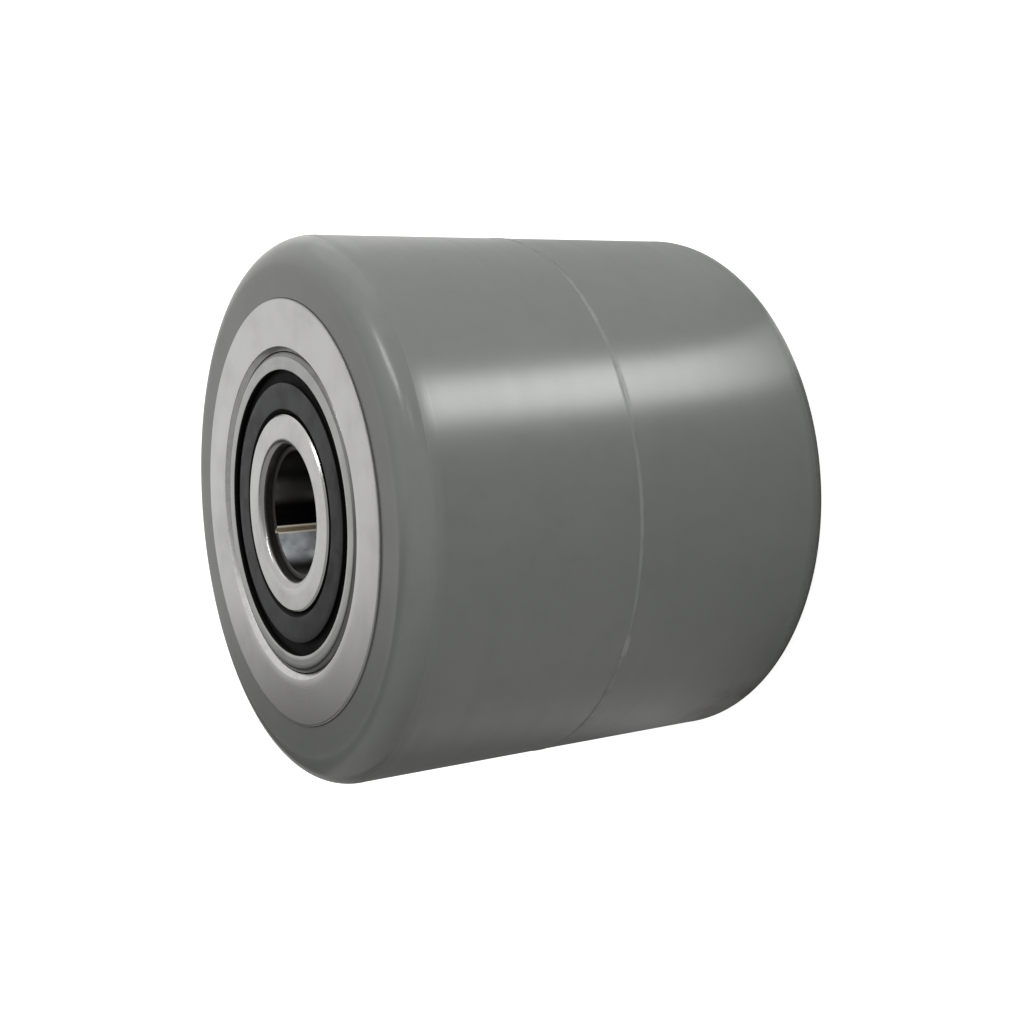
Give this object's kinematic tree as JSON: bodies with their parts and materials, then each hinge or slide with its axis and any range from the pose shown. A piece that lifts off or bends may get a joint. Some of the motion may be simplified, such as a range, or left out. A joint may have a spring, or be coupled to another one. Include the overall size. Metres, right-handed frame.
{
  "type": "pallet truck load roller",
  "caption": "Steel-cored wheel with a bonded polyurethane tyre, sealed ball bearings at both ends and a rolled sleeve in the axle bore.",
  "frame": {"origin": "the wheel's centre, on the axle's line midway between the core's two end faces", "axes": "+Z runs along the axle's line, out of the end that carries bearing a; the wheel stands on its -Z end, and the seam of the bore sleeve lies on the -X side"},
  "size_m": [0.08, 0.08, 0.07],
  "materials": {
    "tyre": "satin grey polyurethane",
    "turned_steel": "turned face",
    "tube_steel": "drawn tube",
    "rolled_steel": "dark rolled sheet",
    "bearing_steel": "ground and polished",
    "ball_steel": "lapped mirror finish",
    "cage_steel": "pressed sheet",
    "seal_rubber": "moulded black rubber"
  },
  "bodies": {
    "bearing_core": {"bore_sleeve": "rolled_steel", "spacer_tube": "tube_steel", "bearing_a_inner_ring": "bearing_steel", "bearing_b_inner_ring": "bearing_steel"},
    "wheel": {"tyre": "tyre", "wheel_core": "turned_steel", "bearing_a_outer_ring": "bearing_steel", "bearing_a_outer_seal": "seal_rubber", "bearing_a_inner_seal": "seal_rubber", "bearing_b_outer_ring": "bearing_steel", "bearing_b_outer_seal": "seal_rubber", "bearing_b_inner_seal": "seal_rubber"},
    "cage_a": {"bearing_a_cage_outer_half": "cage_steel", "bearing_a_cage_inner_half": "cage_steel", "bearing_a_cage_rivets": "cage_steel"},
    "ball_a1": {"bearing_a_ball_1": "ball_steel"},
    "ball_a2": {"bearing_a_ball_2": "ball_steel"},
    "ball_a3": {"bearing_a_ball_3": "ball_steel"},
    "ball_a4": {"bearing_a_ball_4": "ball_steel"},
    "ball_a5": {"bearing_a_ball_5": "ball_steel"},
    "ball_a6": {"bearing_a_ball_6": "ball_steel"},
    "ball_a7": {"bearing_a_ball_7": "ball_steel"},
    "ball_a8": {"bearing_a_ball_8": "ball_steel"},
    "cage_b": {"bearing_b_cage_outer_half": "cage_steel", "bearing_b_cage_inner_half": "cage_steel", "bearing_b_cage_rivets": "cage_steel"},
    "ball_b1": {"bearing_b_ball_1": "ball_steel"},
    "ball_b2": {"bearing_b_ball_2": "ball_steel"},
    "ball_b3": {"bearing_b_ball_3": "ball_steel"},
    "ball_b4": {"bearing_b_ball_4": "ball_steel"},
    "ball_b5": {"bearing_b_ball_5": "ball_steel"},
    "ball_b6": {"bearing_b_ball_6": "ball_steel"},
    "ball_b7": {"bearing_b_ball_7": "ball_steel"},
    "ball_b8": {"bearing_b_ball_8": "ball_steel"}
  },
  "joints": [
    {"name": "wheel_spin", "type": "hinge", "parent": "bearing_core", "child": "wheel", "pos_m": [0, 0, 0], "axis": [0, 0, 1], "continuous": true},
    {"name": "cage_a_turn", "type": "hinge", "parent": "bearing_core", "child": "cage_a", "pos_m": [0, 0, 0.02775], "axis": [0, 0, 1], "continuous": true},
    {"name": "ball_a1_roll", "type": "hinge", "parent": "cage_a", "child": "ball_a1", "pos_m": [0.01675, 0, 0.02775], "axis": [0, 0, 1], "continuous": true},
    {"name": "ball_a2_roll", "type": "hinge", "parent": "cage_a", "child": "ball_a2", "pos_m": [0.01184, 0.01184, 0.02775], "axis": [0, 0, 1], "continuous": true},
    {"name": "ball_a3_roll", "type": "hinge", "parent": "cage_a", "child": "ball_a3", "pos_m": [0, 0.01675, 0.02775], "axis": [0, 0, 1], "continuous": true},
    {"name": "ball_a4_roll", "type": "hinge", "parent": "cage_a", "child": "ball_a4", "pos_m": [-0.01184, 0.01184, 0.02775], "axis": [0, 0, 1], "continuous": true},
    {"name": "ball_a5_roll", "type": "hinge", "parent": "cage_a", "child": "ball_a5", "pos_m": [-0.01675, 0, 0.02775], "axis": [0, 0, 1], "continuous": true},
    {"name": "ball_a6_roll", "type": "hinge", "parent": "cage_a", "child": "ball_a6", "pos_m": [-0.01184, -0.01184, 0.02775], "axis": [0, 0, 1], "continuous": true},
    {"name": "ball_a7_roll", "type": "hinge", "parent": "cage_a", "child": "ball_a7", "pos_m": [0, -0.01675, 0.02775], "axis": [0, 0, 1], "continuous": true},
    {"name": "ball_a8_roll", "type": "hinge", "parent": "cage_a", "child": "ball_a8", "pos_m": [0.01184, -0.01184, 0.02775], "axis": [0, 0, 1], "continuous": true},
    {"name": "cage_b_turn", "type": "hinge", "parent": "bearing_core", "child": "cage_b", "pos_m": [0, 0, -0.02775], "axis": [0, 0, 1], "continuous": true},
    {"name": "ball_b1_roll", "type": "hinge", "parent": "cage_b", "child": "ball_b1", "pos_m": [0.01675, 0, -0.02775], "axis": [0, 0, 1], "continuous": true},
    {"name": "ball_b2_roll", "type": "hinge", "parent": "cage_b", "child": "ball_b2", "pos_m": [0.01184, 0.01184, -0.02775], "axis": [0, 0, 1], "continuous": true},
    {"name": "ball_b3_roll", "type": "hinge", "parent": "cage_b", "child": "ball_b3", "pos_m": [0, 0.01675, -0.02775], "axis": [0, 0, 1], "continuous": true},
    {"name": "ball_b4_roll", "type": "hinge", "parent": "cage_b", "child": "ball_b4", "pos_m": [-0.01184, 0.01184, -0.02775], "axis": [0, 0, 1], "continuous": true},
    {"name": "ball_b5_roll", "type": "hinge", "parent": "cage_b", "child": "ball_b5", "pos_m": [-0.01675, 0, -0.02775], "axis": [0, 0, 1], "continuous": true},
    {"name": "ball_b6_roll", "type": "hinge", "parent": "cage_b", "child": "ball_b6", "pos_m": [-0.01184, -0.01184, -0.02775], "axis": [0, 0, 1], "continuous": true},
    {"name": "ball_b7_roll", "type": "hinge", "parent": "cage_b", "child": "ball_b7", "pos_m": [0, -0.01675, -0.02775], "axis": [0, 0, 1], "continuous": true},
    {"name": "ball_b8_roll", "type": "hinge", "parent": "cage_b", "child": "ball_b8", "pos_m": [0.01184, -0.01184, -0.02775], "axis": [0, 0, 1], "continuous": true}
  ],
  "couplings": [
    {"joint": "cage_a_turn", "follows": "wheel_spin", "ratio": 0.61848},
    {"joint": "ball_a1_roll", "follows": "wheel_spin", "ratio": 1.9916},
    {"joint": "ball_a2_roll", "follows": "wheel_spin", "ratio": 1.9916},
    {"joint": "ball_a3_roll", "follows": "wheel_spin", "ratio": 1.9916},
    {"joint": "ball_a4_roll", "follows": "wheel_spin", "ratio": 1.9916},
    {"joint": "ball_a5_roll", "follows": "wheel_spin", "ratio": 1.9916},
    {"joint": "ball_a6_roll", "follows": "wheel_spin", "ratio": 1.9916},
    {"joint": "ball_a7_roll", "follows": "wheel_spin", "ratio": 1.9916},
    {"joint": "ball_a8_roll", "follows": "wheel_spin", "ratio": 1.9916},
    {"joint": "cage_b_turn", "follows": "wheel_spin", "ratio": 0.61848},
    {"joint": "ball_b1_roll", "follows": "wheel_spin", "ratio": 1.9916},
    {"joint": "ball_b2_roll", "follows": "wheel_spin", "ratio": 1.9916},
    {"joint": "ball_b3_roll", "follows": "wheel_spin", "ratio": 1.9916},
    {"joint": "ball_b4_roll", "follows": "wheel_spin", "ratio": 1.9916},
    {"joint": "ball_b5_roll", "follows": "wheel_spin", "ratio": 1.9916},
    {"joint": "ball_b6_roll", "follows": "wheel_spin", "ratio": 1.9916},
    {"joint": "ball_b7_roll", "follows": "wheel_spin", "ratio": 1.9916},
    {"joint": "ball_b8_roll", "follows": "wheel_spin", "ratio": 1.9916}
  ]
}
